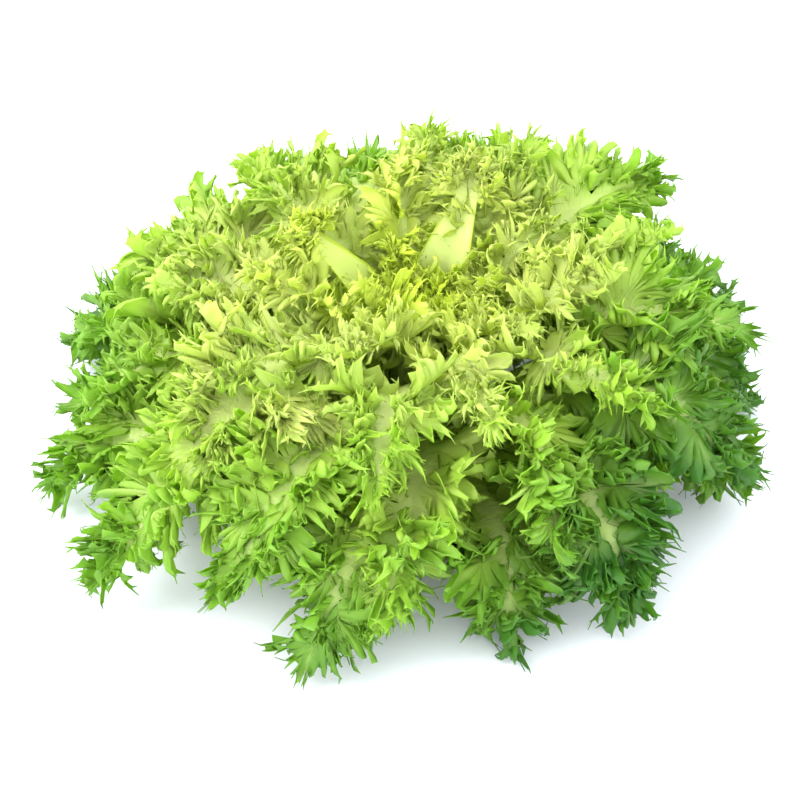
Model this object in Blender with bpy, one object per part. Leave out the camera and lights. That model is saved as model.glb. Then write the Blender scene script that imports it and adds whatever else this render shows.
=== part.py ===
"""A whole head of curly endive, resting on its cut stem.

One crown carries all the leaves on a spiral, each in its own layer. The origin is the centre of the
cut face under the crown, +Z runs up through the heart, and the head leans a little towards +X.
Lengths are in metres. A leaf's course is a curve in the half-plane of radius and height that holds
the stem's axis. The courses fan out from the crown and arch over, and no two of them cross, so leaves
in different layers stay apart however wide they are.
"""

import math

import bmesh
import bpy
from mathutils import Matrix, Vector

# The head
HEAD_RADIUS = 0.160  # the reach of the lowest leaves' tips
HEAD_HEIGHT = 0.128  # the height that the arching leaves' tips follow
HEAD_SQUARENESS = 3.0  # exponent of the head's outline: 2 is an ellipse, more is squarer
OVAL = 0.90  # the head's depth along Y as a share of its width along X
HEART_DIP = 0.36  # share by which the tips fall short of that outline at the heart
DIP_START, DIP_SPAN = 50.0, 38.0  # degrees of elevation over which the dip grows to that
LEAN = 0.16  # shift towards +X for each metre of height

# The crown
CROWN_RADIUS = 0.019
CROWN_HEIGHT = 0.030  # the dome that the leaves grow from, above the stem
STEM_HEIGHT = 0.007
CUT_RADIUS = 0.0165
CUT_EDGE_HEIGHT = 0.0038  # where the stem reaches the crown's full radius
SHARP_ANGLE = 50.0
CROWN_SEGMENTS = 20
CROWN_RINGS = 5
LEAF_GAP = 0.0011  # between the crown and the leaves' bases

# The leaves
WHORLS = (("outer_leaf", 17), ("middle_leaf", 17), ("inner_leaf", 13), ("heart_leaf", 8))
GOLDEN_ANGLE = 137.508
FIRST_AZIMUTH = 12.0
SWAY = 3.0  # degrees that a tip swings aside
LEAF_HALF_WIDTH = 0.040  # of the widest, lowest leaves, to the ends of their lobes
HEART_LEAF_SHARE = 0.42  # the innermost leaf's width as a share of that
NARROWING_POWER = 1.6  # how late the leaves narrow towards the heart
PETIOLE_HALF_WIDTH = 0.0056
PETIOLE_NARROWING = 0.35  # share by which the innermost petiole is narrower
RIB_SHARE = 0.16  # the rib's width as a share of the leaf's, over most of the blade
RIB_BASE_SHARE = 0.6  # the same at the crown, where the leaf is all stalk
RIB_TAPER = 1.6  # how fast the rib's share falls along the leaf
LOBES = 5  # pairs of side lobes on a leaf
LOBE_PEAK = 0.55  # where a lobe is widest, as a share of its stretch of the rib
LOBES_END = 0.96  # share of the course where the last side lobe ends
SINUS_SHARE = 0.60  # the blade's width between two lobes, as a share of its width at a lobe
WIDEST_AT = 0.80  # share of the course where the blade is widest
BLADE_FULLNESS = 1.6  # exponent of the blade's growth up to there
TIP_SHARE = 0.30  # the blade's width at its very tip, as a share of its widest
BLADE_START = 0.28  # share of the course that is bare petiole
START_SHARE = 0.10  # the blade's width there, as a share of its widest
LENGTH_VARIATION = 0.05  # by which a leaf's length differs from its layer's
LENGTH_BEAT, SWAY_BEAT = 3.7, 2.0  # radians from leaf to leaf of the sines that vary them
RIB_THICKNESS = 0.0018  # of the lowest leaves
EDGE_SHARE = 0.55  # the blade's thickness at its edge as a share of the rib's
HEART_THICKNESS_SHARE = 0.6  # the innermost leaf's thickness as a share of the lowest's
WAVE_HEIGHT = 0.005  # rise and fall of a leaf's edge where there is room for it
WAVE_BEAT_ALONG, WAVE_BEAT_ACROSS = 2.4, 2.1  # radians from row to row and from edge to edge
LAYER_CLEARANCE = 0.0006
WIDEST_WRAP = 38.0  # degrees that half a leaf may reach round the stem's axis
FLOOR_CLEARANCE = 0.0005

# A course's elevation, seen from the top of the stem, is a cubic with these controls in degrees
TOP_LAYER = 1.04
BASE_ELEVATION, BASE_RISE = 6.0, 74.0  # the lowest leaf's, and what the heart has more
RISING_ELEVATION, RISING_FALL, RISING_POWER = 89.0, 62.0, 1.2  # the heart's, what the lowest has less
ARCHING_ELEVATION, ARCHING_FALL, ARCHING_POWER = 90.0, 69.0, 1.35
TIP_ELEVATION, TIP_RISE, TIP_CURVE, TIP_POWER = -1.2, 31.0, 54.0, 1.6

# Two leaves this many steps apart on the spiral stand this many degrees apart round the stem
SPIRAL_NEIGHBOURS = ((2, 85.0), (3, 52.5), (5, 32.5), (8, 20.0), (13, 12.4))

COLOURS = {
    "crown": (0.80, 0.80, 0.58),
    "outer_leaf": (0.13, 0.30, 0.04),
    "middle_leaf": (0.30, 0.52, 0.07),
    "inner_leaf": (0.50, 0.68, 0.12),
    "heart_leaf": (0.62, 0.66, 0.10),
}
ROUGHNESS = 0.45


def smooth(value):
    """A smooth step from 0 to 1."""
    value = min(max(value, 0.0), 1.0)
    return value * value * (3 - 2 * value)


def direction(elevation):
    """The unit vector (radius, height) at an elevation in degrees."""
    return Vector((math.cos(math.radians(elevation)), math.sin(math.radians(elevation))))


def head_outline(elevation):
    """The distance from the top of the stem to the leaves' tips at an elevation in degrees."""
    radial, upward = direction(elevation)
    across = (abs(radial) / HEAD_RADIUS) ** HEAD_SQUARENESS
    up = (abs(upward) / (HEAD_HEIGHT - STEM_HEIGHT)) ** HEAD_SQUARENESS
    dip = 1 - HEART_DIP * smooth((elevation - DIP_START) / DIP_SPAN)
    return dip * (across + up) ** (-1 / HEAD_SQUARENESS)


def crown_reach(elevation):
    """The distance from the top of the stem to the crown's surface at an elevation in degrees."""
    radial, upward = direction(elevation)
    return math.hypot(radial / CROWN_RADIUS, upward / CROWN_HEIGHT) ** -1


def course(layer, share):
    """The point (radius, height) at a share of the course of a layer: 0 is the lowest, 1 the heart.

    The elevation seen from the top of the stem is a cubic in the share. Each of its four controls
    rises with the layer, so a course never meets the next one.
    """
    below_heart = max(TOP_LAYER - layer, 0.0)
    base = BASE_ELEVATION + BASE_RISE * layer
    rising = RISING_ELEVATION - RISING_FALL * below_heart**RISING_POWER
    arching = ARCHING_ELEVATION - ARCHING_FALL * below_heart**ARCHING_POWER
    tip = TIP_ELEVATION + TIP_RISE * layer + TIP_CURVE * abs(layer) ** TIP_POWER
    rest = 1 - share
    elevation = base * rest**3 + 3 * rest * share * (rising * rest + arching * share) + tip * share**3
    start = (crown_reach(base) + LEAF_GAP) / head_outline(base)
    reach = (start + (1 - start) * share) * head_outline(elevation)
    return Vector((0, STEM_HEIGHT)) + direction(elevation) * reach


def layer_spacing(layer, share, leaf_count):
    """The distance between the courses of two leaves that follow each other on the spiral."""
    step = 0.5 / leaf_count
    low, high = course(layer - step, share), course(layer + step, share)
    ahead = (course(layer, share + 0.01) - course(layer, share - 0.01)).normalized()
    return abs(ahead.cross(high - low))


def rib_thickness(layer):
    """A leaf's thickness at its rib."""
    return RIB_THICKNESS * (1 - (1 - HEART_THICKNESS_SHARE) * layer)


def room_for_waves(layer, half_wrap, spacing):
    """How far a leaf may rise or sink at a place where half of it reaches this many degrees round."""
    steps = next((n for n, apart in SPIRAL_NEIGHBOURS if apart < 2 * (half_wrap + SWAY)), 13)
    room = 0.5 * (OVAL * steps * spacing - rib_thickness(layer) - LAYER_CLEARANCE)
    return min(max(room, 0.0), WAVE_HEIGHT)


def blade_rows():
    """Shares of the course with the blade's width there, as a share of its widest: petiole, lobes, tip."""
    rows = [(0.0, 0.0), (0.5 * BLADE_START, 0.0), (BLADE_START, START_SHARE)]
    pitch = (LOBES_END - BLADE_START) / LOBES
    for lobe in range(LOBES):
        share = BLADE_START + (lobe + LOBE_PEAK) * pitch
        full = math.sin(0.5 * math.pi * min(share / WIDEST_AT, 1.0)) ** BLADE_FULLNESS
        rows.append((share, full))
        rows.append((share + 0.5 * pitch, full * SINUS_SHARE))
    rows.append((1.0, TIP_SHARE))
    return rows


def half_width(layer, blade_share, radius):
    """Half a leaf's width where its blade is that share of its widest."""
    widest = LEAF_HALF_WIDTH * (1 - (1 - HEART_LEAF_SHARE) * layer**NARROWING_POWER)
    petiole = PETIOLE_HALF_WIDTH * (1 - PETIOLE_NARROWING * layer)
    return min(petiole + blade_share * (widest - petiole), math.radians(WIDEST_WRAP) * radius)


def placed(radius, height, azimuth):
    """The point of the head at a radius, a height and an azimuth in degrees."""
    turn = math.radians(azimuth)
    shift = LEAN * (height - STEM_HEIGHT)
    return Vector((radius * math.cos(turn) + shift, OVAL * radius * math.sin(turn), height))


def material(name):
    """The plain finish of one kind of piece."""
    made = bpy.data.materials.new(name)
    made.use_nodes = True
    shader = made.node_tree.nodes["Principled BSDF"]
    shader.inputs["Base Color"].default_value = (*COLOURS[name], 1.0)
    shader.inputs["Roughness"].default_value = ROUGHNESS
    shader.inputs["Metallic"].default_value = 0.0
    return made


def add_object(name, mesh, finish):
    """A named object for a finished mesh, smooth-shaded."""
    piece = bpy.data.objects.new(name, mesh)
    bpy.context.scene.collection.objects.link(piece)
    mesh.materials.append(finish)
    mesh.shade_smooth()
    return piece


def make_crown(finish):
    """The short cut stem and the dome above it, turned about the stem's axis."""
    bm = bmesh.new()
    profile = [(0.0, 0.0), (CUT_RADIUS, 0.0), (CROWN_RADIUS, CUT_EDGE_HEIGHT)]
    for ring in range(CROWN_RINGS):
        radial, upward = direction(90 * ring / CROWN_RINGS)
        profile.append((CROWN_RADIUS * radial, STEM_HEIGHT + CROWN_HEIGHT * upward))
    profile += [(0.0, STEM_HEIGHT + CROWN_HEIGHT)]
    outline = [bm.verts.new((radius, 0, height)) for radius, height in profile]
    edges = [bm.edges.new(pair) for pair in zip(outline, outline[1:])]
    bmesh.ops.spin(
        bm,
        geom=outline + edges,
        axis=(0, 0, 1),
        cent=(0, 0, 0),
        angle=2 * math.pi,
        steps=CROWN_SEGMENTS,
        use_merge=True,
    )
    bmesh.ops.remove_doubles(bm, verts=bm.verts, dist=1e-5)
    bmesh.ops.scale(bm, vec=(1, OVAL, 1), verts=bm.verts)
    bmesh.ops.transform(
        bm,
        matrix=Matrix.Shear("XY", 4, (LEAN, 0)),
        verts=[v for v in bm.verts if v.co.z > STEM_HEIGHT],
        space=Matrix.Translation((0, 0, -STEM_HEIGHT)),
    )
    bmesh.ops.recalc_face_normals(bm, faces=bm.faces)
    mesh = bpy.data.meshes.new("crown")
    bm.to_mesh(mesh)
    bm.free()
    crown = add_object("crown", mesh, finish)
    crown.data.set_sharp_from_angle(angle=math.radians(SHARP_ANGLE))


def make_leaf(name, number, leaf_count, finish):
    """One leaf: a lobed sheet on its layer's course, waved where its neighbours leave room."""
    layer = number / (leaf_count - 1)
    azimuth = FIRST_AZIMUTH + number * GOLDEN_ANGLE
    length = 1 + LENGTH_VARIATION * math.sin(LENGTH_BEAT * number)
    rows = blade_rows()
    bm = bmesh.new()
    bmesh.ops.create_grid(bm, x_segments=len(rows) - 1, y_segments=3, size=1.0)
    bm.verts.ensure_lookup_table()
    for vert in bm.verts:
        row = round((vert.co.x + 1) / 2 * (len(rows) - 1))
        column = round((vert.co.y + 1) / 2 * 3) - 1.5
        share, blade_share = rows[row]
        share *= length
        radius, height = course(layer, share)
        half = half_width(layer, blade_share, radius)
        at_edge = abs(column) > 1
        rib = max(RIB_SHARE, RIB_BASE_SHARE - RIB_TAPER * share)
        aside = math.copysign(half * (1.0 if at_edge else rib), column)
        lift = 0.0
        if at_edge:
            half_wrap = math.degrees(half / radius)
            room = room_for_waves(layer, half_wrap, layer_spacing(layer, share, leaf_count))
            lift = room * math.sin(WAVE_BEAT_ALONG * row + WAVE_BEAT_ACROSS * column + number)
        ahead = (course(layer, share + 0.01) - course(layer, share - 0.01)).normalized()
        radius -= lift * ahead.y
        height += lift * ahead.x
        sway = SWAY * share**2 * math.sin(SWAY_BEAT * number)
        lowest = rib_thickness(layer) * EDGE_SHARE / 2 + FLOOR_CLEARANCE
        wrap = math.degrees(aside / radius)
        vert.co = placed(radius, max(height, lowest), azimuth + sway + wrap)
    mesh = bpy.data.meshes.new(name)
    bmesh.ops.recalc_face_normals(bm, faces=bm.faces)
    edge_verts = {vert.index for vert in bm.verts if vert.is_boundary}
    bm.to_mesh(mesh)
    bm.free()
    leaf = add_object(name, mesh, finish)
    full = leaf.vertex_groups.new(name="full_thickness")
    full.add([v.index for v in mesh.vertices if v.index not in edge_verts], 1.0, "REPLACE")
    wall = leaf.modifiers.new("wall", "SOLIDIFY")
    wall.thickness = rib_thickness(layer)
    wall.offset = 0.0
    wall.vertex_group = full.name
    wall.thickness_vertex_group = EDGE_SHARE


def make_head():
    """The crown, and the leaves from the lowest to the heart."""
    for old in list(bpy.data.objects):
        bpy.data.objects.remove(old)
    make_crown(material("crown"))
    leaf_count = sum(count for _, count in WHORLS)
    number = 0
    for whorl, count in WHORLS:
        finish = material(whorl)
        for place in range(count):
            make_leaf(f"{whorl}_{place + 1:02d}", number, leaf_count, finish)
            number += 1


make_head()
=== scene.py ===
"""The looks of a whole head of curly endive, resting on its cut stem.

Every leaf is one thin closed shell: a fleshy pale rib and, along both its sides, lobes that fan out
into a toothed and ruffled margin. A leaf follows the course that its solid takes from the crown.
Lengths are in metres and angles in degrees, unless a name says otherwise.
"""

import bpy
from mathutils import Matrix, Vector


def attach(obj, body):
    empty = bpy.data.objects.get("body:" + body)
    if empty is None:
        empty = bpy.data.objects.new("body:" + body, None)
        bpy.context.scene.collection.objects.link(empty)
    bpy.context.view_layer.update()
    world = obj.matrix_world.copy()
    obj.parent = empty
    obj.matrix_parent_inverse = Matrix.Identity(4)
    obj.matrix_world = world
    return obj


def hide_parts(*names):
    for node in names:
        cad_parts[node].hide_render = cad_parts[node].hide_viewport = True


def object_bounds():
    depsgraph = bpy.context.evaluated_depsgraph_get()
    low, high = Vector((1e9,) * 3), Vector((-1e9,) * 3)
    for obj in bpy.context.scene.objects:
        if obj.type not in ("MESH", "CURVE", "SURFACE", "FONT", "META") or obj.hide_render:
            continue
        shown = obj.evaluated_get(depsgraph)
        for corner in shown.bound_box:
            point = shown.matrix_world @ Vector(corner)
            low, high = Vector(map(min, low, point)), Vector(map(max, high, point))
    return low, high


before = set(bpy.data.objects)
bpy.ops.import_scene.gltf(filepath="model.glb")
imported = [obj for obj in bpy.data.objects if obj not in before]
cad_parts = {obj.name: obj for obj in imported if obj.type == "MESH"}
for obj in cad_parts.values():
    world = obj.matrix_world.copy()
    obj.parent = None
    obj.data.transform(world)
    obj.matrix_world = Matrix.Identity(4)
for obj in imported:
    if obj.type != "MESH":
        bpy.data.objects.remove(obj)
CAD_BOX = [list(corner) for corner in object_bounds()]

import logging
import math
from dataclasses import dataclass, field, replace
from enum import Enum
from typing import ClassVar

import bpy
import numpy as np
from mathutils import Vector

LOG = logging.getLogger("curly_endive")
BODY = "root"
SEED = 4107
GOLDEN_ANGLE = 137.508
FIRST_AZIMUTH = 12.0

MERGE_DISTANCE = 2e-6
THICK_LEVELS = 20  # steps of the walls' thickness
THINNEST = 0.17  # the thinnest wall beside the rib's
BOX_MARGIN = 0.010  # how far frills may stand past the solids' box, on each side
BOX_EASE = 0.014  # how far before that limit they start to be held back
FLOOR_GAP = 0.0012  # the least height of a leaf's middle surface
FLOOR_EASE = 0.006  # how far above that height leaves start to be held up

# The rows of a lobe's body, from the rib's edge to the foot of the fingers, as shares of the way
BODY_ROWS = np.array((0.0, 0.38, 0.80, 1.0))
SHARED_ROWS = 3  # rows in which a tooth's columns are one
# A finger's rows: the share of its turn reached, and how far its sides close in, in degrees
FINGER_ROWS = ((0.45, 12.0), (1.20, 34.0))
# A tooth's columns: where each one stands in the tooth's width, and how high it reaches
TOOTH_PLACES = (0.30, 0.50, 0.70)
TOOTH_HEIGHTS = (0.04, 1.0, 0.04)
# How far each row stands from the rib to the margin, as the finish sees it
ROW_WAYS = np.concatenate((BODY_ROWS * 0.76, (0.84, 0.93, 1.0)))


def smooth(value: float | np.ndarray) -> float | np.ndarray:
    """A smooth step from 0 to 1."""
    value = np.clip(value, 0.0, 1.0)
    return value * value * (3 - 2 * value)


def mixed(low: float, high: float, share: float) -> float:
    """The value at a share of the way from low to high."""
    return low + (high - low) * share


def held_back(over: np.ndarray, ease: float) -> np.ndarray:
    """How much of an overshoot is taken away, so that what is left never grows past the ease.

    Args:
        over: how far places stand past the line where the holding back starts.
        ease: how far they may stand past it at most.

    Returns:
        What is taken away from each.
    """
    return np.where(over > 0, over - ease * np.tanh(over / ease), 0)


class Whorl(Enum):
    """The four kinds of leaf, from the lowest to the heart, with how many there are."""

    OUTER = ("outer_leaf", 17)
    MIDDLE = ("middle_leaf", 17)
    INNER = ("inner_leaf", 13)
    HEART = ("heart_leaf", 8)

    @property
    def slot(self) -> str:
        """The whorl's name, which the leaves' names and their solids' names start with."""
        return self.value[0]

    @property
    def count(self) -> int:
        """How many leaves the whorl holds."""
        return self.value[1]


class Socket:
    """A shader value or colour that Python's operators can work on."""

    def __init__(self, shader: "Shader", output: bpy.types.NodeSocket) -> None:
        """Wraps a node's output.

        Args:
            shader: the tree that it belongs to.
            output: the output.
        """
        self.shader = shader
        self.output = output

    def _math(self, operation: str, *values: object) -> "Socket":
        """A Math node's result."""
        return self.shader.add("ShaderNodeMath", {"operation": operation}, dict(enumerate(values)))

    def __add__(self, other: object) -> "Socket":
        """The sum."""
        return self._math("ADD", self, other)

    def __sub__(self, other: object) -> "Socket":
        """The difference."""
        return self._math("SUBTRACT", self, other)

    def __rsub__(self, other: object) -> "Socket":
        """The difference, taken from a number."""
        return self._math("SUBTRACT", other, self)

    def __mul__(self, other: object) -> "Socket":
        """The product."""
        return self._math("MULTIPLY", self, other)

    __radd__ = __add__
    __rmul__ = __mul__

    def clamped(self) -> "Socket":
        """The value kept between 0 and 1."""
        return self._math("MINIMUM", self._math("MAXIMUM", self, 0.0), 1.0)


class Shader:
    """One material's node tree and the few ways in which nodes are added to it."""

    def __init__(self, name: str) -> None:
        """Starts an empty tree.

        Args:
            name: the material's name.
        """
        self.material = bpy.data.materials.new(name)
        self.material.use_nodes = True
        self.tree = self.material.node_tree
        self.tree.nodes.clear()

    def add(self, kind: str, settings: dict, values: dict, output: object = 0) -> Socket:
        """Adds any node.

        Args:
            kind: the node's type.
            settings: its own settings, set before its inputs; "stops" are a ramp's stops.
            values: for each input's name or number, a value or a Socket.
            output: the name or number of the output that is wanted.

        Returns:
            That output.
        """
        node = self.tree.nodes.new(kind)
        for key, value in settings.items():
            if key == "stops":
                self._set_stops(node.color_ramp, value)
            else:
                setattr(node, key, value)
        for key, value in values.items():
            if isinstance(value, Socket):
                self.tree.links.new(value.output, node.inputs[key])
            else:
                node.inputs[key].default_value = value
        return Socket(self, node.outputs[output])

    @staticmethod
    def _set_stops(ramp: bpy.types.ColorRamp, stops: tuple) -> None:
        """Gives a ramp its stops.

        Args:
            ramp: the ramp.
            stops: pairs of a position and a colour.
        """
        while len(ramp.elements) < len(stops):
            ramp.elements.new(1.0)
        for element, (position, colour) in zip(ramp.elements, stops):
            element.position = position
            element.color = (*colour, 1.0)

    def attribute(self, name: str) -> Socket:
        """A number that the mesh's points hold."""
        return self.add("ShaderNodeAttribute", {"attribute_name": name}, {}, "Fac")

    def noise(self, scale: float, detail: float, vector: Socket) -> Socket:
        """Noise from 0 to 1 at the places that the vector gives."""
        values = {"Vector": vector, "Scale": scale, "Detail": detail}
        return self.add("ShaderNodeTexNoise", {}, values, "Fac")

    def bump(self, strength: float, distance: float, height: Socket) -> Socket:
        """A normal that shows a height's small relief."""
        values = {"Strength": strength, "Distance": distance, "Height": height}
        return self.add("ShaderNodeBump", {}, values, "Normal")

    def place(self) -> Socket:
        """The object's own coordinates."""
        return self.add("ShaderNodeTexCoord", {}, {}, "Object")

    def mix(self, factor: object, first: object, second: object) -> Socket:
        """Two colours mixed.

        Args:
            factor: the second one's share.
            first: a Socket, or red, green and blue.
            second: the same.

        Returns:
            The mixed colour.
        """
        values = {0: factor}
        for key, colour in ((6, first), (7, second)):
            values[key] = colour if isinstance(colour, Socket) else (*colour, 1.0)
        return self.add("ShaderNodeMix", {"data_type": "RGBA"}, values, 2)

    def finish(self, surface: Socket) -> bpy.types.Material:
        """Joins the tree to the material's output.

        Args:
            surface: the shader that the material shows.

        Returns:
            The material.
        """
        node = self.tree.nodes.new("ShaderNodeOutputMaterial")
        self.tree.links.new(surface.output, node.inputs["Surface"])
        return self.material


@dataclass(frozen=True)
class LeafFinish:
    """A leaf's skin: yellow where it grew in the dark of the heart, green where light reached it, with
    painted shade deep inside the head.
    """

    name: str
    roughness: float = 0.36
    through: float = 0.50  # share of the light that goes through the blade
    glow_share: float = 0.42  # how much of that light's colour is the glow's
    blotches: float = 0.30  # how much the broad blotches change the tone
    grains: float = 0.06  # how much the fine grain changes it
    heart: tuple = (0.74, 0.84, 0.08)
    pale: tuple = (0.72, 0.79, 0.24)
    lime: tuple = (0.52, 0.74, 0.10)
    green: tuple = (0.27, 0.53, 0.05)
    deep: tuple = (0.06, 0.22, 0.025)
    rib: tuple = (0.88, 0.96, 0.42)
    glow: tuple = (0.66, 0.86, 0.06)
    # painted shade deep inside the head: olive where the tone is yellow, near black where it is green
    gloom: tuple = (0.44, 0.56, 0.0)
    dark: tuple = (0.012, 0.05, 0.008)

    def make(self) -> bpy.types.Material:
        """Builds the material and returns it."""
        tree = Shader(self.name)
        place = tree.place()
        blotch = tree.noise(38.0, 3.0, place)
        grain = tree.noise(420.0, 2.0, place)
        tone = tree.attribute("greenness") + (blotch - 0.5) * self.blotches
        tone = (tone + (grain - 0.5) * self.grains).clamped()
        stops = (
            (0.0, self.heart),
            (0.27, self.pale),
            (0.52, self.lime),
            (0.77, self.green),
            (1.0, self.deep),
        )
        blade = tree.add("ShaderNodeValToRGB", {"stops": stops}, {0: tone}, "Color")
        rib = tree.attribute("ribness")
        vein = tree.attribute("vein")
        blade = tree.mix((vein * 0.40).clamped(), blade, self.rib)
        colour = tree.mix(rib.clamped(), blade, self.rib)
        # Painted shade: points deep inside the head are mixed towards a dark shade colour, olive near
        # the heart and near black among the green leaves, the more so where the tone is greener.
        gloom = tree.mix(tone, self.gloom, self.dark)
        colour = tree.mix(tree.attribute("depth") * (tone * 0.45 + 0.35), colour, gloom)
        roughness = self.roughness + (blotch - 0.5) * 0.25
        height = vein * 0.5 + tree.noise(240.0, 3.0, place) * 0.5
        height = height + tree.noise(95.0, 1.0, place) * 1.6
        bump = tree.bump(0.55, 0.0010, height)
        values = {"Base Color": colour, "Roughness": roughness, "Normal": bump}
        skin = tree.add("ShaderNodeBsdfPrincipled", {}, values)
        lit = tree.mix(self.glow_share, colour, self.glow)
        through = tree.add("ShaderNodeBsdfTranslucent", {}, {"Color": lit, "Normal": bump})
        return tree.finish(tree.add("ShaderNodeMixShader", {}, {0: self.through, 1: skin, 2: through}))


@dataclass(frozen=True)
class StemFinish:
    """The crown's pale flesh, browned where the stem was cut."""

    name: str
    roughness: float = 0.55
    flesh: tuple = (0.74, 0.78, 0.46)
    cut: tuple = (0.62, 0.50, 0.28)
    brown: tuple = (0.22, 0.12, 0.05)

    def make(self) -> bpy.types.Material:
        """Builds the material and returns it."""
        tree = Shader(self.name)
        mottle = tree.noise(170.0, 4.0, tree.place())
        face = tree.mix((mottle * 2.2 - 0.7).clamped(), self.cut, self.brown)
        colour = tree.mix(tree.attribute("cut"), self.flesh, face)
        bump = tree.bump(0.4, 0.0008, mottle)
        values = {"Base Color": colour, "Roughness": self.roughness, "Normal": bump}
        return tree.finish(tree.add("ShaderNodeBsdfPrincipled", {}, values))


@dataclass(frozen=True)
class PlainFinish:
    """A matt finish in one colour, for the floor."""

    name: str
    colour: tuple
    roughness: float

    def make(self) -> bpy.types.Material:
        """Builds the material and returns it."""
        tree = Shader(self.name)
        values = {"Base Color": (*self.colour, 1.0), "Roughness": self.roughness}
        return tree.finish(tree.add("ShaderNodeBsdfPrincipled", {}, values))


@dataclass(frozen=True)
class HeadForm:
    """The form of the head and its family of courses, as its solids have them."""

    radius: float = 0.160
    height: float = 0.128
    squareness: float = 3.0  # 2 for an outline that is an ellipse, more for a boxier one
    oval: float = 0.90  # depth beside width
    heart_dip: float = 0.36  # how much lower the head is at its heart
    lean: float = 0.16  # shift of the heart to the right, beside its height
    crown_radius: float = 0.019
    crown_height: float = 0.030
    stem_height: float = 0.007
    leaf_gap: float = 0.0011  # between the crown and a leaf's foot

    def outline(self, elevation: np.ndarray) -> np.ndarray:
        """The outline of the head.

        Args:
            elevation: angles up from the floor.

        Returns:
            The distance from the top of the stem to the leaves' tips at each angle.
        """
        turn = np.radians(elevation)
        across = (np.abs(np.cos(turn)) / self.radius) ** self.squareness
        up = (np.abs(np.sin(turn)) / (self.height - self.stem_height)) ** self.squareness
        dip = 1 - self.heart_dip * smooth((elevation - 50) / 38)
        return dip * (across + up) ** (-1 / self.squareness)

    def course(self, layer: float, share: np.ndarray) -> tuple[np.ndarray, np.ndarray]:
        """A layer's course.

        Args:
            layer: 0 for the lowest leaf, 1 for the heart.
            share: shares of the way along it.

        Returns:
            The radius and the height at each share.
        """
        below = max(1.04 - layer, 0.0)
        base = 6 + 74 * layer
        rising = 89 - 62 * below**1.2
        arching = 90 - 69 * below**1.35
        tip = -1.2 + 31 * layer + 54 * layer**1.6
        rest = 1 - share
        elevation = base * rest**3 + tip * share**3
        elevation = elevation + 3 * rest * share * (rising * rest + arching * share)
        turn = math.radians(base)
        across, up = math.cos(turn) / self.crown_radius, math.sin(turn) / self.crown_height
        crown = math.hypot(across, up) ** -1
        start = (crown + self.leaf_gap) / float(self.outline(np.array(base)))
        reach = (start + (1 - start) * share) * self.outline(elevation)
        turn = np.radians(elevation)
        return reach * np.cos(turn), self.stem_height + reach * np.sin(turn)


@dataclass(frozen=True)
class Habit:
    """How one leaf differs from its layer's course."""

    length: float = 1.0  # share of the course's length
    turn: float = 0.0  # shift of its azimuth
    sway: float = 0.0  # how far its tip swings aside
    bend: float = 0.0  # how far its outer half rises, or sinks if it is negative
    curl: float = 0.0  # how far its tip curls up past the end of the course
    roll: float = 0.0  # twist about its own rib at the tip
    width: float = 1.0
    shade: float = 0.0  # greener if it is positive: a tint that differs at random, and painted shade on some leaves of the shaded lower right
    rib: float = 1.0  # the rib's width beside the usual
    bare: float = 0.0  # share of the rib more than usual that has hardly any blade


# Leaves that stand out from their neighbours, by their place on the spiral
STANDING_OUT = {
    2: {"turn": 6.0, "length": 0.99, "sway": -6.0, "roll": -20.0},
    7: {"turn": 7.0, "length": 1.12, "bend": -7.0, "width": 1.15},
    # leaf 10 and leaf 18 are made greener as painted shade on the head's shaded lower right
    10: {"bend": -15.0, "length": 1.12, "shade": 0.12},
    12: {"bend": -19.0, "length": 1.20, "turn": 3.0, "roll": 12.0},
    15: {"bend": -22.0, "length": 1.06, "turn": -3.0},
    # greener as painted shade on the shaded lower right
    18: {"bend": -18.0, "shade": 0.14},
    20: {"bend": -27.0, "length": 1.18, "turn": 3.0, "width": 1.15},
    22: {"rib": 3.4, "bare": 0.22, "shade": -0.12, "roll": 0.0},
    23: {"bend": -29.0, "length": 1.08, "turn": 5.0, "shade": 0.04, "width": 0.95},
    25: {
        "rib": 4.8, "bare": 0.30, "shade": -0.16, "width": 1.15, "roll": -10.0,
        "bend": -12.0, "turn": 12.0,
    },
    28: {"rib": 1.9, "bare": 0.20, "turn": -6.0, "bend": -17.0, "roll": 8.0, "length": 1.05},
    30: {"rib": 3.4, "bare": 0.30, "roll": -20.0, "shade": -0.05},
    31: {"bend": -19.0, "length": 1.04},
    33: {"bend": -19.0, "length": 1.04},
    36: {"bend": -21.0, "length": 1.06},
    39: {"rib": 2.6, "bare": 0.14, "roll": 12.0},
    41: {"bend": -17.0, "length": 1.06},
    43: {
        "rib": 5.8, "bare": 0.56, "roll": -10.0, "bend": -6.0, "curl": -30.0,
        "length": 1.15, "turn": 8.0,
    },
    44: {"bend": -15.0, "length": 1.06},
    45: {
        "rib": 5.2, "bare": 0.50, "roll": 0.0, "curl": -60.0, "bend": -12.0,
        "length": 1.34, "turn": -8.0,
    },
    49: {"bend": -9.0},
}


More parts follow.
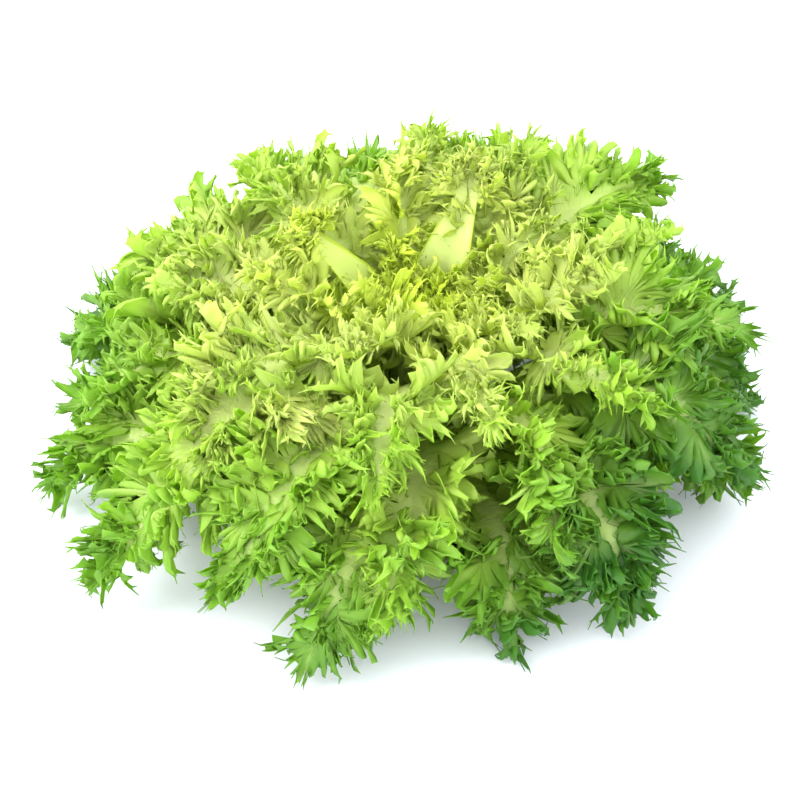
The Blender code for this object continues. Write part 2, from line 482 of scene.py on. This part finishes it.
class Backbone:
    """The line that a leaf's rib follows, with the directions along, across and up from the leaf."""

    SAMPLES = 400
    OVERRUN = 1.35  # how far the line is drawn out, as a share of its length

    def __init__(self, form: HeadForm, layer: float, azimuth: float, habit: Habit) -> None:
        """Works the line out.

        Args:
            form: the head's form.
            layer: the leaf's layer, from 0 to 1.
            azimuth: the direction that the leaf grows in.
            habit: how it differs from its layer.
        """
        radius, height = form.course(layer, np.linspace(0, 1, self.SAMPLES + 1))
        step = np.hypot(np.diff(radius), np.diff(height))
        along = np.concatenate(([0.0], np.cumsum(step)))
        angle = np.unwrap(np.arctan2(np.diff(height), np.diff(radius)))
        middle = (along[1:] + along[:-1]) / 2
        self.length = along[-1] * habit.length
        self.share = np.linspace(0, self.OVERRUN, self.SAMPLES + 1)
        angle = np.interp(np.minimum(self.share, 1.0) * along[-1], middle, angle)
        angle += math.radians(habit.bend) * smooth((self.share - 0.15) / 0.55)
        angle += math.radians(habit.curl) * smooth((self.share - 0.70) / 0.6)
        stride = self.length * self.OVERRUN / self.SAMPLES
        radius = radius[0] + np.concatenate(([0.0], np.cumsum(np.cos(angle[:-1])))) * stride
        height = height[0] + np.concatenate(([0.0], np.cumsum(np.sin(angle[:-1])))) * stride
        radius = np.maximum(radius, 0.001)
        turn = np.radians(azimuth + habit.turn + habit.sway * self.share**2)
        lean = form.lean * (height - form.stem_height)
        across, back = radius * np.cos(turn) + lean, form.oval * radius * np.sin(turn)
        self.point = np.stack((across, back, height), 1)
        ahead = np.gradient(self.point, axis=0)
        self.ahead = ahead / np.linalg.norm(ahead, axis=1)[:, None]
        aside = np.stack((-np.sin(turn), np.cos(turn), np.zeros_like(turn)), 1)
        aside -= (aside * self.ahead).sum(1)[:, None] * self.ahead
        aside /= np.linalg.norm(aside, axis=1)[:, None]
        above = np.cross(self.ahead, aside)
        roll = np.radians(habit.roll * smooth(self.share))[:, None]
        self.aside = aside * np.cos(roll) + above * np.sin(roll)
        self.above = above * np.cos(roll) - aside * np.sin(roll)

    def read(self, table: np.ndarray, share: np.ndarray) -> np.ndarray:
        """Reads one of the line's tables.

        Args:
            table: the point, ahead, aside or above table.
            share: shares of the way, in any shape.

        Returns:
            The vector at each share.
        """
        axes = [np.interp(share, self.share, table[:, axis]) for axis in range(3)]
        return np.stack(axes, -1)


@dataclass
class Margin:
    """One side's columns, from the crown to the tip: where each starts, where it heads, how far."""

    share: list = field(default_factory=list)
    axis: list = field(default_factory=list)  # heading of its lobe
    fan: list = field(default_factory=list)  # how far it turns aside from its lobe's heading
    pinch: list = field(default_factory=list)  # how far it turns in at first, to its lobe's neck
    body: list = field(default_factory=list)  # length up to the foot of the fingers
    finger: list = field(default_factory=list)  # length of the finger there
    tooth: list = field(default_factory=list)  # length of the tooth there
    lift: list = field(default_factory=list)  # how its lobe is tilted along its heading
    twist: list = field(default_factory=list)  # how its lobe is rolled about its heading
    fold: list = field(default_factory=list)  # how its lobe's sides are folded up
    curl: list = field(default_factory=list)
    wave: list = field(default_factory=list)  # ruffle of the edge
    inside: list = field(default_factory=list)  # place across its finger, from -1 to 1
    finger_turn: list = field(default_factory=list)
    finger_veer: list = field(default_factory=list)
    tooth_turn: list = field(default_factory=list)
    tooth_veer: list = field(default_factory=list)
    vein: list = field(default_factory=list)
    join: list = field(default_factory=list)  # 1 where both sides meet at the tip

    def add(self, **values: float) -> None:
        """Adds a column; the values that are left out are 0."""
        for name, column in vars(self).items():
            column.append(values.get(name, 0.0))

    def arrays(self) -> dict:
        """All of it as arrays."""
        return {name: np.array(values, float) for name, values in vars(self).items()}


@dataclass(frozen=True)
class LeafSizes:
    """A leaf's sizes, each as its value for the lowest leaf and for the innermost one."""

    blade: tuple = (0.043, 0.020)  # how far its longest lobe reaches from the rib
    rib_half: tuple = (0.0048, 0.0030)
    cup: tuple = (-6.0, 28.0)  # how far its lobes rise from the rib
    lobes: tuple = (9.4, 5.4)
    tooth_pitch: tuple = (0.0026, 0.0015)
    stalk: tuple = (0.36, 0.24)  # share of the rib with hardly any blade
    tooth_length: tuple = (0.0050, 0.0036)
    finger_length: tuple = (0.0082, 0.0046)
    thickness: tuple = (0.0024, 0.0014)  # of the rib at its foot


@dataclass(frozen=True)
class LobeRanges:
    """The lowest and highest values that chance gives a lobe, its fingers and its teeth."""

    teeth: tuple = (2, 6)  # in one finger, up to one less than the second
    tooth_width: tuple = (0.6, 1.4)  # beside the other teeth
    tooth_height: tuple = (0.30, 1.40)  # beside the leaf's tooth length
    tooth_turn: tuple = (-65, 65)
    tooth_veer: tuple = (-35, 35)
    finger_length: tuple = (0.30, 1.55)  # beside the leaf's finger length
    finger_turn: tuple = (-95, 100)
    finger_veer: tuple = (-38, 38)
    lift: tuple = (10, 46)  # up for one lobe and down for the next
    rise: tuple = (2, 28)  # up for every lobe
    twist: tuple = (-35, 35)
    fold: tuple = (-15, 40)
    curl: tuple = (-60, 60)
    spread: tuple = (70, 105)  # how far its outer columns fan out
    waves: tuple = (1.2, 2.4)  # how many times its edge waves
    sinus: tuple = (0.16, 0.34)  # how far the blade reaches between two lobes
    dent: tuple = (0.08, 0.22)  # how far its outline swells in and out
    phase: tuple = (0, 6.28)  # in radians
    cut: tuple = (0.25, 0.75)  # depth of the cuts between fingers
    ruffle: tuple = (-90, 90)
    axis: tuple = (-12, 12)  # added to its heading
    reach: tuple = (0.80, 1.15)  # beside what is usual at its place


@dataclass
class Leaf:
    """One leaf, from the stalk at the crown to its toothed tip."""

    # What both sides share where they meet at the tip, and what is 0 there
    SAME_AT_TIP: ClassVar[tuple] = (
        "body", "finger", "tooth", "lift", "fold", "curl", "wave", "finger_turn", "tooth_turn",
    )
    NONE_AT_TIP: ClassVar[tuple] = ("twist", "tooth_veer", "finger_veer", "inside")

    name: str
    number: int
    layer: float
    form: HeadForm
    habit: Habit
    sizes: LeafSizes = LeafSizes()
    ranges: LobeRanges = LobeRanges()
    stalk_columns: int = 6
    rib_end: float = 0.91  # share of the line where the rib ends and the last lobe fans out
    tip_lobe: float = 0.06  # how far before that it starts
    tip_axis: float = 44.0  # heading of its outer columns
    full_lobe: float = 0.016  # a lobe that reaches this far has fingers and teeth of full length
    neck: float = 34.0  # how far a lobe's outer columns turn in at its foot
    edge_wave: float = 70.0  # how steeply a lobe's edge waves
    tooth_fan: float = 50.0  # how far a finger's outer teeth turn aside
    stalk_fringe: float = 0.0012  # width of the blade along the stalk

    def __post_init__(self) -> None:
        """Works out the leaf's own sizes from its layer."""
        self.random = np.random.default_rng(SEED + self.number)
        azimuth = FIRST_AZIMUTH + GOLDEN_ANGLE * self.number
        self.line = Backbone(self.form, self.layer, azimuth, self.habit)
        sizes = self.sizes
        self.blade = mixed(*sizes.blade, self.layer**1.3) * self.habit.width
        self.rib_half = mixed(*sizes.rib_half, self.layer) * self.habit.rib
        self.cup = mixed(*sizes.cup, self.layer)
        self.lobes = round(mixed(*sizes.lobes, self.layer))
        self.tooth_pitch = mixed(*sizes.tooth_pitch, self.layer)
        self.stalk = mixed(*sizes.stalk, self.layer) + self.habit.bare
        self.tooth_length = mixed(*sizes.tooth_length, self.layer)
        self.finger_length = mixed(*sizes.finger_length, self.layer)
        self.thickness = mixed(*sizes.thickness, self.layer)

    def lobe_reach(self, share: float) -> float:
        """How far a lobe reaches from the rib at a share of the way.

        Args:
            share: the share of the rib where the lobe's middle is.

        Returns:
            The length, which grows from the crown and is less again near the tip.
        """
        grown = math.sin(0.5 * math.pi * min(max(share - 0.10, 0.0) / 0.50, 1.0)) ** 1.4
        grown *= 1 - 0.42 * smooth((share - 0.58) / 0.34)
        return self.blade * max(grown, 0.12)

    def fingers(self, teeth: int) -> tuple[np.ndarray, np.ndarray]:
        """Shares teeth out among fingers.

        Args:
            teeth: how many there are.

        Returns:
            For each tooth its finger's number, and the first tooth of each finger with one past
            the last tooth at the end.
        """
        firsts = [0]
        while teeth - firsts[-1] > 5:
            firsts.append(firsts[-1] + int(self.random.integers(*self.ranges.teeth)))
        edges = np.array((*firsts, teeth))
        owner = np.searchsorted(edges, np.arange(teeth), side="right") - 1
        return owner, edges

    def lobe(
        self,
        margin: Margin,
        span: tuple,
        axis: float,
        reach: float,
        teeth: int,
        up: float,
        end: bool = False,
    ) -> None:
        """Adds one lobe's columns to a margin.

        Args:
            margin: what they are added to.
            span: the shares of the rib where the lobe starts and ends.
            axis: its heading, measured from straight aside towards the tip.
            reach: how far it reaches.
            teeth: how many it has.
            up: 1 for a lobe that stands up from the blade, -1 for one that hangs, or between.
            end: whether it is half of the lobe at the leaf's tip.
        """
        chance, ranges = self.random.uniform, self.ranges
        size = min(reach / self.full_lobe, 1.0)
        owner, edges = self.fingers(teeth)
        widths = chance(*ranges.tooth_width, teeth)
        ends = np.cumsum(widths) / widths.sum()
        heights = self.tooth_length * chance(*ranges.tooth_height, teeth) * size
        tooth_turns = chance(*ranges.tooth_turn, teeth)
        tooth_veers = chance(*ranges.tooth_veer, teeth)
        count = len(edges) - 1
        lengths = self.finger_length * chance(*ranges.finger_length, count) * size
        finger_turns = chance(*ranges.finger_turn, count)
        finger_veers = chance(*ranges.finger_veer, count)
        lift = up * chance(*ranges.lift) + chance(*ranges.rise)
        twist = chance(*ranges.twist)
        fold = chance(*ranges.fold)
        curl = chance(*ranges.curl)
        spread = chance(*ranges.spread)
        waves = chance(*ranges.waves)
        sinus = chance(*ranges.sinus)
        dent = chance(*ranges.dent)
        phase = chance(*ranges.phase)
        cuts = chance(*ranges.cut, count)
        ruffles = chance(*ranges.ruffle, count)
        body = max(reach - self.finger_length * size - 0.5 * self.tooth_length * size, 0.3 * reach)
        for tooth in range(teeth):
            own = owner[tooth]
            first, last = edges[own], edges[own + 1]
            for place, height in zip(TOOTH_PLACES, TOOTH_HEIGHTS):
                across = float(ends[tooth] - widths[tooth] / widths.sum() * (1 - place))
                inside = 2 * (tooth + place - first) / (last - first) - 1
                edge = 2 * across - 1 if not end else across - 1
                full = 1 - abs(edge) ** 6
                finger = 1 - abs(inside) ** 1.7
                ripple = 1 + dent * math.sin(2 * math.pi * 1.6 * across + phase)
                ripple -= cuts[own] * abs(inside) ** 3
                ruffle = ruffles[own] * (1 - inside**2)
                ruffle += self.edge_wave * math.sin(2 * math.pi * waves * across - phase)
                margin.add(
                    share=mixed(span[0], span[1], across),
                    axis=mixed(axis, 90.0, across**0.8) if end else axis,
                    fan=-0.62 * spread * (1 - across) if end else spread * edge,
                    pinch=0.0 if end else self.neck * edge,
                    body=body * (sinus + (1 - sinus) * full) * ripple,
                    finger=lengths[own] * (0.03 + 0.97 * finger) * (0.3 + 0.7 * full),
                    tooth=heights[tooth] * height * (0.4 + 0.6 * full),
                    lift=lift,
                    twist=twist,
                    fold=fold,
                    curl=curl,
                    wave=ruffle,
                    inside=inside,
                    finger_turn=finger_turns[own],
                    finger_veer=finger_veers[own],
                    tooth_turn=tooth_turns[tooth],
                    tooth_veer=tooth_veers[tooth] if height == 1.0 else 0.0,
                    vein=max(1 - abs(edge) * 9, 0.0),
                    join=smooth((across - 0.62) / 0.36) if end else 0.0,
                )

    def margin(self, teeth: list) -> Margin:
        """Lays out one side's margin.

        Args:
            teeth: how many each lobe has, the tip's last.

        Returns:
            The margin.
        """
        margin = Margin()
        for column in range(self.stalk_columns):
            share = self.stalk * column / self.stalk_columns
            margin.add(share=share, body=self.stalk_fringe, finger=1e-4, tooth=1e-4, lift=20.0)
        edges = self.lobe_edges()
        up = self.random.choice((-1.0, 1.0))
        for number, (first, last) in enumerate(zip(edges, edges[1:])):
            axis = mixed(14, 60, (number / (len(edges) - 2)) ** 1.5)
            axis += self.random.uniform(*self.ranges.axis)
            reach = self.lobe_reach((first + last) / 2) * self.random.uniform(*self.ranges.reach)
            self.lobe(margin, (first, last), axis, reach, teeth[number], up)
            up = -up
        span, reach = (edges[-1], self.rib_end), self.lobe_reach(1.0)
        self.lobe(margin, span, self.tip_axis, reach, teeth[-1], 0.5, end=True)
        tip = {name: values[-1] for name, values in vars(margin).items()}
        tip.update(share=self.rib_end, axis=90.0, fan=0.0, join=1.0, vein=1.0)
        margin.add(**tip)
        return margin

    def lobe_edges(self) -> list:
        """The shares of the rib where one lobe ends and the next starts."""
        last = self.rib_end - self.tip_lobe
        shares = [(number / self.lobes) ** 0.9 for number in range(self.lobes + 1)]
        return [mixed(self.stalk, last, share) for share in shares]

    def tooth_counts(self) -> list:
        """How many teeth each lobe has, the tip's half lobe last."""
        edges = self.lobe_edges()
        shares = [(first + last) / 2 for first, last in zip(edges, edges[1:])]
        around = [3.0 * self.lobe_reach(share) + 0.008 for share in shares]
        around.append(1.6 * self.lobe_reach(1.0))
        pitches = [self.tooth_pitch * mixed(2.5, 0.62, share) for share in (*shares, 1.0)]
        return [max(round(length / pitch), 4) for length, pitch in zip(around, pitches)]

    def sheet(self) -> dict:
        """The leaf's middle surface.

        Returns:
            For each side, column and row: the places, and what the finish reads.
        """
        counts = self.tooth_counts()
        sides = [self.margin(counts).arrays() for _ in range(2)]
        columns = len(sides[0]["share"])
        data = {key: np.stack([side[key] for side in sides]) for key in sides[0]}
        sign = np.array((1.0, -1.0))[:, None]
        join = data["join"]
        for key in self.SAME_AT_TIP:
            data[key] = data[key] * (1 - join) + data[key].mean(0) * join
        for key in self.NONE_AT_TIP:
            data[key] = data[key] * (1 - join)
        share = data["share"]
        rib = self.rib_half * (1 - smooth((share - 0.10) / (self.rib_end - 0.05)) * 0.86)
        rib *= 1 - smooth((share - self.rib_end + 0.10) / 0.10) * join
        place = self.line.read(self.line.point, share)
        aside = self.line.read(self.line.aside, share) * sign[..., None]
        above = self.line.read(self.line.above, share)
        channel = 0.42 * rib
        place = place + aside * rib[..., None] + above * (channel * 0.5)[..., None]
        centre_share = share.mean(0)
        centre = self.line.read(self.line.point, centre_share)
        centre -= self.line.read(self.line.above, centre_share) * (channel.mean(0) * 0.6)[:, None]
        rows = [place]
        self.now = share.copy()  # where each column has come to along the line, row by row
        for low, high in zip(BODY_ROWS, BODY_ROWS[1:]):
            way = (low + high) / 2
            rise, veer = self.bearing(data, way)
            rows.append(rows[-1] + self.move(data["body"] * (high - low), rise, veer, sign))
        rise, veer = self.bearing(data, 1.0)
        for share_turned, taper in FINGER_ROWS:
            bent = rise + data["finger_turn"] * share_turned
            stride = data["finger"] / len(FINGER_ROWS)
            headed = veer + data["finger_veer"] * share_turned - taper * data["inside"]
            rows.append(rows[-1] + self.move(stride, bent, headed, sign))
        bent = bent + data["tooth_turn"]
        veer = veer + data["finger_veer"] + data["tooth_veer"]
        veer = veer + self.tooth_fan * data["inside"]
        rows.append(rows[-1] + self.move(data["tooth"], bent, veer, sign))
        rows = np.stack(rows, 2)
        base = np.arange(columns)
        lobed = slice(self.stalk_columns, columns - 1)
        base[lobed] -= (base[lobed] - self.stalk_columns) % len(TOOTH_PLACES)
        rows[:, :, :SHARED_ROWS] = rows[:, base, :SHARED_ROWS]
        return {"rows": rows, "centre": centre[base], **data}

    def bearing(self, data: dict, way: float) -> tuple[np.ndarray, np.ndarray]:
        """Where the columns head.

        Args:
            data: the columns of both sides.
            way: how far along a lobe's body, from 0 to 1.

        Returns:
            The angles up from the leaf and towards its tip, in degrees.
        """
        fan = data["fan"] * smooth((way - 0.10) / 0.58)
        fan = fan - data["pinch"] * max(1 - way / 0.4, 0.0)
        turn = np.radians(fan)
        tilt = data["lift"] * np.cos(turn) + data["twist"] * np.sin(turn)
        tilt += data["fold"] * np.sin(turn) ** 2
        rise = self.cup + tilt * way**0.7 + data["curl"] * way**1.7 + data["wave"] * 0.55 * way**4
        return rise, data["axis"] + fan

    def move(
        self, stride: np.ndarray, rise: np.ndarray, veer: np.ndarray, sign: np.ndarray
    ) -> np.ndarray:
        """Takes every column one step further.

        Args:
            stride: the steps' lengths.
            rise: their angles up from the leaf.
            veer: their angles from straight aside towards the tip.
            sign: 1 for one side of the leaf, -1 for the other.

        Returns:
            The steps.
        """
        rise, veer = np.radians(rise), np.radians(veer)
        ahead_by = np.cos(rise) * np.sin(veer) * stride
        self.now = self.now + ahead_by / self.line.length
        ahead = self.line.read(self.line.ahead, self.now)
        aside = self.line.read(self.line.aside, self.now) * sign[..., None]
        above = self.line.read(self.line.above, self.now)
        step = aside * (np.cos(rise) * np.cos(veer) * stride)[..., None]
        return step + ahead * ahead_by[..., None] + above * (np.sin(rise) * stride)[..., None]

    @staticmethod
    def inside_box(place: np.ndarray) -> np.ndarray:
        """Keeps places above the floor and near the solids' box.

        Args:
            place: points.

        Returns:
            The same points, eased in where they were too far out.
        """
        place = place.copy()
        low, high = CAD_BOX
        for axis in (0, 1):
            over = place[..., axis] - (high[axis] + BOX_MARGIN - BOX_EASE)
            place[..., axis] -= held_back(over, BOX_EASE)
            under = (low[axis] - BOX_MARGIN + BOX_EASE) - place[..., axis]
            place[..., axis] += held_back(under, BOX_EASE)
        under = (FLOOR_GAP + FLOOR_EASE) - place[..., 2]
        place[..., 2] += held_back(under, FLOOR_EASE)
        return place

    def greenness(self, place: np.ndarray, share: np.ndarray, way: np.ndarray) -> np.ndarray:
        """How green the blade is: little near the heart, more where light reached it, with painted
        light on the left and painted shade on the right.

        Args:
            place: the points.
            share: not used.
            way: how far they are from the rib to the margin.

        Returns:
            0 for the yellow of the heart to 1 for the darkest green.
        """
        heart = np.array((0.012, 0.0))
        away = np.linalg.norm(place[..., :2] - heart, axis=-1) / 0.155
        high = place[..., 2] / 0.12
        tone = 0.02 + 0.70 * away**0.95 + 0.20 * (1 - np.clip(high, 0, 1))
        tone = tone - 0.10 * (1 - way) - 0.07 * self.layer + self.habit.shade
        # Painted light and shade: paler on the left, where the key lamp shines, and greener on the
        # right, its shadow side, the more so low down.
        aside = np.clip(place[..., 0] / 0.11, -1, 1)
        tone = tone + aside * np.where(aside > 0, 0.11 + 0.08 * (1 - np.clip(high, 0, 1)), 0.05)
        return np.clip(tone, 0.0, 1.0)

    def depth(self, place: np.ndarray) -> np.ndarray:
        """How deep points lie inside the head, which is where the finish paints shade.

        Args:
            place: the points.

        Returns:
            0 near the head's surface to 1 in its middle.
        """
        up = place[:, 2] - self.form.stem_height
        across = np.hypot(place[:, 0] - self.form.lean * up, place[:, 1] / self.form.oval)
        outline = self.form.outline(np.degrees(np.arctan2(up, across)))
        return np.clip((0.90 - np.hypot(across, up) / outline) / 0.45, 0, 1)

    def build(self) -> bpy.types.Object:
        """Models the leaf as one closed shell.

        Returns:
            The leaf's object.
        """
        sheet = self.sheet()
        columns = sheet["share"].shape[1]
        across = len(BODY_ROWS) + len(FINGER_ROWS) + 1
        bpy.ops.object.select_all(action="DESELECT")
        bpy.ops.mesh.primitive_grid_add(
            x_subdivisions=columns - 1, y_subdivisions=2 * across, size=2.0, location=(0, 0, 0)
        )
        leaf = bpy.context.object
        leaf.name = self.name
        mesh = leaf.data
        mesh.name = self.name
        flat = np.empty(len(mesh.vertices) * 3)
        mesh.vertices.foreach_get("co", flat)
        flat = flat.reshape(-1, 3)
        column = np.rint((flat[:, 0] + 1) / 2 * (columns - 1)).astype(int)
        row = np.rint((flat[:, 1] + 1) / 2 * 2 * across).astype(int) - across
        side = np.where(row > 0, 0, 1)
        step = np.maximum(np.abs(row) - 1, 0)
        place = sheet["rows"][side, column, step]
        place[row == 0] = sheet["centre"][column[row == 0]]
        place = self.inside_box(place)
        mesh.vertices.foreach_set("co", place.ravel())
        way = np.where(row == 0, 0.0, ROW_WAYS[step])
        share = sheet["share"][side, column]
        ribness = np.maximum(np.clip(1 - way * 3.2, 0, 1) ** 1.5, 0.10 * np.clip(1 - way * 1.3, 0, 1))
        ribness = np.where(row == 0, 1.0, ribness) * (1 - 0.62 * share)
        vein = sheet["vein"][side, column] * np.clip(1.15 - way, 0, 1) * (row != 0)
        self.store(mesh, "greenness", self.greenness(place, share, way))
        self.store(mesh, "ribness", ribness)
        # the finish paints shade where this depth is high
        self.store(mesh, "depth", self.depth(place))
        self.store(mesh, "vein", vein)
        thick = np.where(np.abs(row) <= 1, 1.0, 0.0) * (1 - 0.75 * share)
        thick = np.maximum(thick, 0.30 * np.clip(1 - way * 3, 0, 1) * (1 - share))
        self.thicken(leaf, thick)
        return leaf

    def thicken(self, leaf: bpy.types.Object, thick: np.ndarray) -> None:
        """Makes a sheet a closed shell.

        Args:
            leaf: the object.
            thick: 1 where a point's wall is as thick as the rib's, 0 where it is thinnest.
        """
        group = leaf.vertex_groups.new(name="fleshy")
        levels = np.rint(thick * THICK_LEVELS)
        for level in np.unique(levels):
            members = np.flatnonzero(levels == level).tolist()
            group.add(members, float(level / THICK_LEVELS), "REPLACE")
        bpy.ops.object.mode_set(mode="EDIT")
        bpy.ops.mesh.select_all(action="SELECT")
        bpy.ops.mesh.remove_doubles(threshold=MERGE_DISTANCE)
        bpy.ops.mesh.normals_make_consistent(inside=False)
        bpy.ops.object.mode_set(mode="OBJECT")
        wall = leaf.modifiers.new("wall", "SOLIDIFY")
        wall.thickness = self.thickness
        wall.offset = 0.0
        wall.vertex_group = group.name
        wall.thickness_vertex_group = THINNEST
        bpy.ops.object.modifier_apply(modifier=wall.name)
        bpy.ops.object.shade_smooth()

    @staticmethod
    def store(mesh: bpy.types.Mesh, name: str, values: np.ndarray) -> None:
        """Stores a number for each point, which the finish reads by its name."""
        attribute = mesh.attributes.new(name, "FLOAT", "POINT")
        attribute.data.foreach_set("value", values.astype(np.float32))


class Head:
    """All the leaves on their crown."""

    def __init__(self, form: HeadForm) -> None:
        """Makes the finishes.

        Args:
            form: the head's form.
        """
        self.form = form
        self.count = sum(whorl.count for whorl in Whorl)
        self.finish = LeafFinish("leaf_skin").make()
        self.stem_finish = StemFinish("crown_flesh").make()

    def habit(self, number: int) -> Habit:
        """How a leaf differs from its layer.

        Args:
            number: its place on the spiral.

        Returns:
            Its habit, by chance and with what makes it stand out.
        """
        chance = np.random.default_rng(SEED * 3 + number)
        layer = number / (self.count - 1)
        droop = float(np.interp(layer, (0.0, 0.15, 0.3, 0.45, 0.6, 0.8), (0, 7, 17, 13, 7, 0)))
        corner = abs(math.sin(math.radians(2 * (FIRST_AZIMUTH + GOLDEN_ANGLE * number))))
        habit = Habit(
            length=1.01 - 0.06 * layer + chance.uniform(-0.035, 0.035) + 0.07 * corner,
            turn=chance.uniform(-3, 3),
            sway=chance.uniform(-11, 11),
            bend=chance.uniform(-4, 4) - droop,
            curl=chance.uniform(-35, 30),
            roll=chance.uniform(-50, 50),
            width=chance.uniform(0.9, 1.12),
            shade=chance.uniform(-0.10, 0.09) * (1 - 0.5 * layer),
        )
        return replace(habit, **STANDING_OUT.get(number, {}))

    def crown(self) -> None:
        """The dome that the leaves grow from, with the cut face below on which the head rests."""
        bpy.ops.object.select_all(action="DESELECT")
        bpy.ops.mesh.primitive_uv_sphere_add(segments=96, ring_count=64, location=(0, 0, 0))
        crown = bpy.context.object
        crown.name = "curly_crown"
        mesh = crown.data
        flat = np.empty(len(mesh.vertices) * 3)
        mesh.vertices.foreach_get("co", flat)
        ball = flat.reshape(-1, 3)
        form = self.form
        height = form.stem_height + form.crown_height * np.maximum(ball[:, 2], 0)
        height = np.maximum(height + 0.012 * np.minimum(ball[:, 2], 0), 0)
        ridges = 1 + np.cos(8 * np.arctan2(ball[:, 1], ball[:, 0]))
        scars = 1 - 0.02 * ridges * (1 - np.abs(ball[:, 2]))
        across = ball[:, :2] * (form.crown_radius * scars)[:, None]
        lean = form.lean * (height - form.stem_height)
        place = np.stack((across[:, 0] + lean, form.oval * across[:, 1], height), 1)
        mesh.vertices.foreach_set("co", place.ravel())
        Leaf.store(mesh, "cut", (height < 1e-6).astype(float))
        bpy.ops.object.shade_smooth_by_angle(angle=math.radians(30))
        mesh.materials.append(self.stem_finish)
        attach(crown, BODY)
        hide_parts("crown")
        LOG.info("%s: %d faces", crown.name, len(mesh.polygons))

    def build(self) -> None:
        """Models, dresses and places the crown and every leaf."""
        self.crown()
        number = 0
        for whorl in Whorl:
            for place in range(whorl.count):
                name = f"{whorl.slot}_{place + 1:02d}"
                layer = number / (self.count - 1)
                leaf = Leaf(f"curly_{name}", number, layer, self.form, self.habit(number))
                piece = leaf.build()
                piece.data.materials.append(self.finish)
                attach(piece, BODY)
                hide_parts(name)
                LOG.info("%s: %d faces", piece.name, len(piece.data.polygons))
                number += 1


@dataclass
class Studio:
    """The floor, the lights and the camera."""

    floor_size: float = 6.0
    floor_colour: tuple = (0.84, 0.87, 0.95)
    room: float = 2.35  # strength of the light from all around
    elevation: float = 43.0  # how far the camera looks down
    distance: float = 1.30
    lens: float = 130.0  # in millimetres
    target: tuple = (0.001, -0.011, 0.038)

    def build(self) -> None:
        """Sets the studio up."""
        self.floor()
        self.lights()
        self.camera()

    def floor(self) -> None:
        """A plain white floor."""
        bpy.ops.object.select_all(action="DESELECT")
        bpy.ops.mesh.primitive_plane_add(size=self.floor_size, location=(0, 0, 0))
        floor = bpy.context.object
        floor.name = "floor"
        floor.data.materials.append(PlainFinish("floor_white", self.floor_colour, 0.7).make())

    def light(self, name: str, place: tuple, size: float, power: float, colour: tuple) -> None:
        """Adds a soft lamp that faces the head.

        Args:
            name: its name.
            place: where it stands.
            size: how large it is.
            power: how strong it is, in watts.
            colour: its colour.
        """
        lamp = bpy.data.lights.new(name, "AREA")
        lamp.size = size
        lamp.energy = power
        lamp.color = colour
        light = bpy.data.objects.new(name, lamp)
        bpy.context.scene.collection.objects.link(light)
        light.location = place
        heading = Vector((0, 0, 0.05)) - Vector(place)
        light.rotation_euler = heading.to_track_quat("-Z", "Y").to_euler()

    def lights(self) -> None:
        """Soft light from above and the left, and a bright room."""
        self.light("key", (-1.2, -0.25, 1.5), 0.9, 25.0, (1.0, 0.99, 0.95))
        self.light("back", (0.3, 1.5, 1.5), 1.2, 9.0, (1.0, 1.0, 1.0))
        world = bpy.data.worlds.new("room")
        world.use_nodes = True
        background = world.node_tree.nodes["Background"]
        background.inputs["Color"].default_value = (0.98, 1.0, 0.98, 1.0)
        background.inputs["Strength"].default_value = self.room
        bpy.context.scene.world = world
        bpy.context.scene.view_settings.view_transform = "Standard"

    def camera(self) -> None:
        """The camera in front of the head, looking down at it."""
        target = Vector(self.target)
        tilt = math.radians(self.elevation)
        offset = Vector((0, -math.cos(tilt), math.sin(tilt))) * self.distance
        data = bpy.data.cameras.new("camera")
        data.lens = self.lens
        data.sensor_width = 36.0
        data.clip_start = 0.01
        camera = bpy.data.objects.new("camera", data)
        bpy.context.scene.collection.objects.link(camera)
        camera.location = target + offset
        camera.rotation_euler = (-offset).to_track_quat("-Z", "Y").to_euler()
        bpy.context.scene.camera = camera


def main() -> None:
    """Builds the head and the studio, and logs the faces of each of the head's pieces."""
    logging.basicConfig(level=logging.INFO, format="%(message)s")
    Head(HeadForm()).build()
    Studio().build()


if __name__ == "__main__":
    main()
